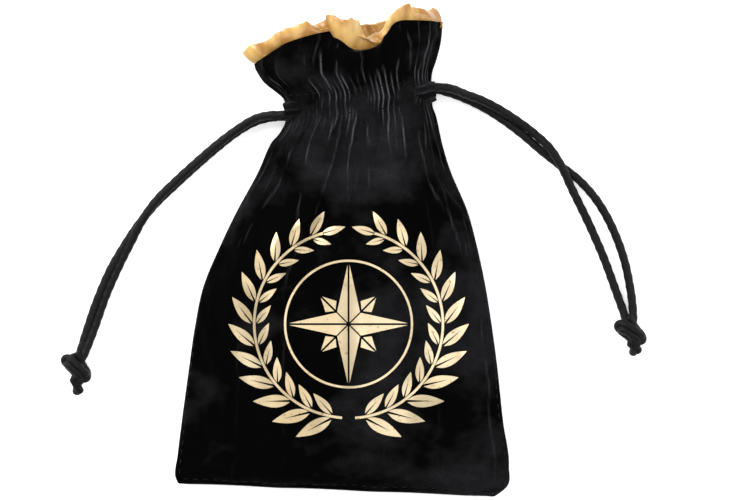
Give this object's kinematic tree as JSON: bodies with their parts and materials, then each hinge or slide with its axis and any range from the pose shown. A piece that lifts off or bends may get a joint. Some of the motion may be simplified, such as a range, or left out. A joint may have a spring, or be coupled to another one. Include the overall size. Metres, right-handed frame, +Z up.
{
  "type": "drawstring pouch",
  "caption": "Velvet drawstring pouch for dice, lying flat with its neck gathered, a satin-lined ruffle at the mouth, a foil wreath on the front and a knotted cord out of each side.",
  "frame": {"origin": "middle of the bag's underside, on the surface it lies on, measured without the free cords", "axes": "+Z up out of the front panel, +Y from the bottom seam towards the mouth, +X towards the side where the right cord leaves"},
  "size_m": [0.211, 0.1753, 0.0178],
  "materials": {
    "velvet": "short pile, near black, brighter along the folds",
    "lining": "plain satin, gold",
    "trim": "folded satin, gold",
    "foil": "heat-pressed metallic foil, pale gold",
    "cord": "round braid, black",
    "thread": "spun polyester, black",
    "trim_thread": "spun polyester, gold"
  },
  "bodies": {
    "pouch": {"outer_front_panel": "velvet", "outer_back_panel": "velvet", "lining_front_panel": "lining", "lining_back_panel": "lining", "left_seam_thread": "thread", "right_seam_thread": "thread", "bottom_seam_thread": "thread", "lower_channel_stitching": "thread", "upper_channel_stitching": "thread", "foil_emblem": "foil", "mouth_trim_back": "trim", "mouth_stitching_back": "trim_thread", "left_channel_loop": "cord", "right_channel_loop": "cord"},
    "front_ruffle": {"ruffle_front_velvet": "velvet", "ruffle_front_lining": "lining", "mouth_trim_front": "trim", "mouth_stitching_front": "trim_thread"},
    "left_cord": {"left_front_strand": "cord", "left_back_strand": "cord", "left_knot": "cord", "left_tails": "cord"},
    "right_cord": {"right_front_strand": "cord", "right_back_strand": "cord", "right_knot": "cord", "right_tails": "cord"}
  },
  "joints": [
    {"name": "left_cord_pull", "type": "slide", "parent": "pouch", "child": "left_cord", "axis": [-0.9925, -0.1219, 0], "range_m": [0, 0.018]},
    {"name": "right_cord_pull", "type": "slide", "parent": "pouch", "child": "right_cord", "axis": [0.9925, 0.1219, 0], "range_m": [0, 0.018]},
    {"name": "mouth_open", "type": "hinge", "parent": "pouch", "child": "front_ruffle", "pos_m": [0.00572, 0.05721, 0.0168], "axis": [0.9925, 0.1219, 0], "range_deg": [0, 30]}
  ]
}
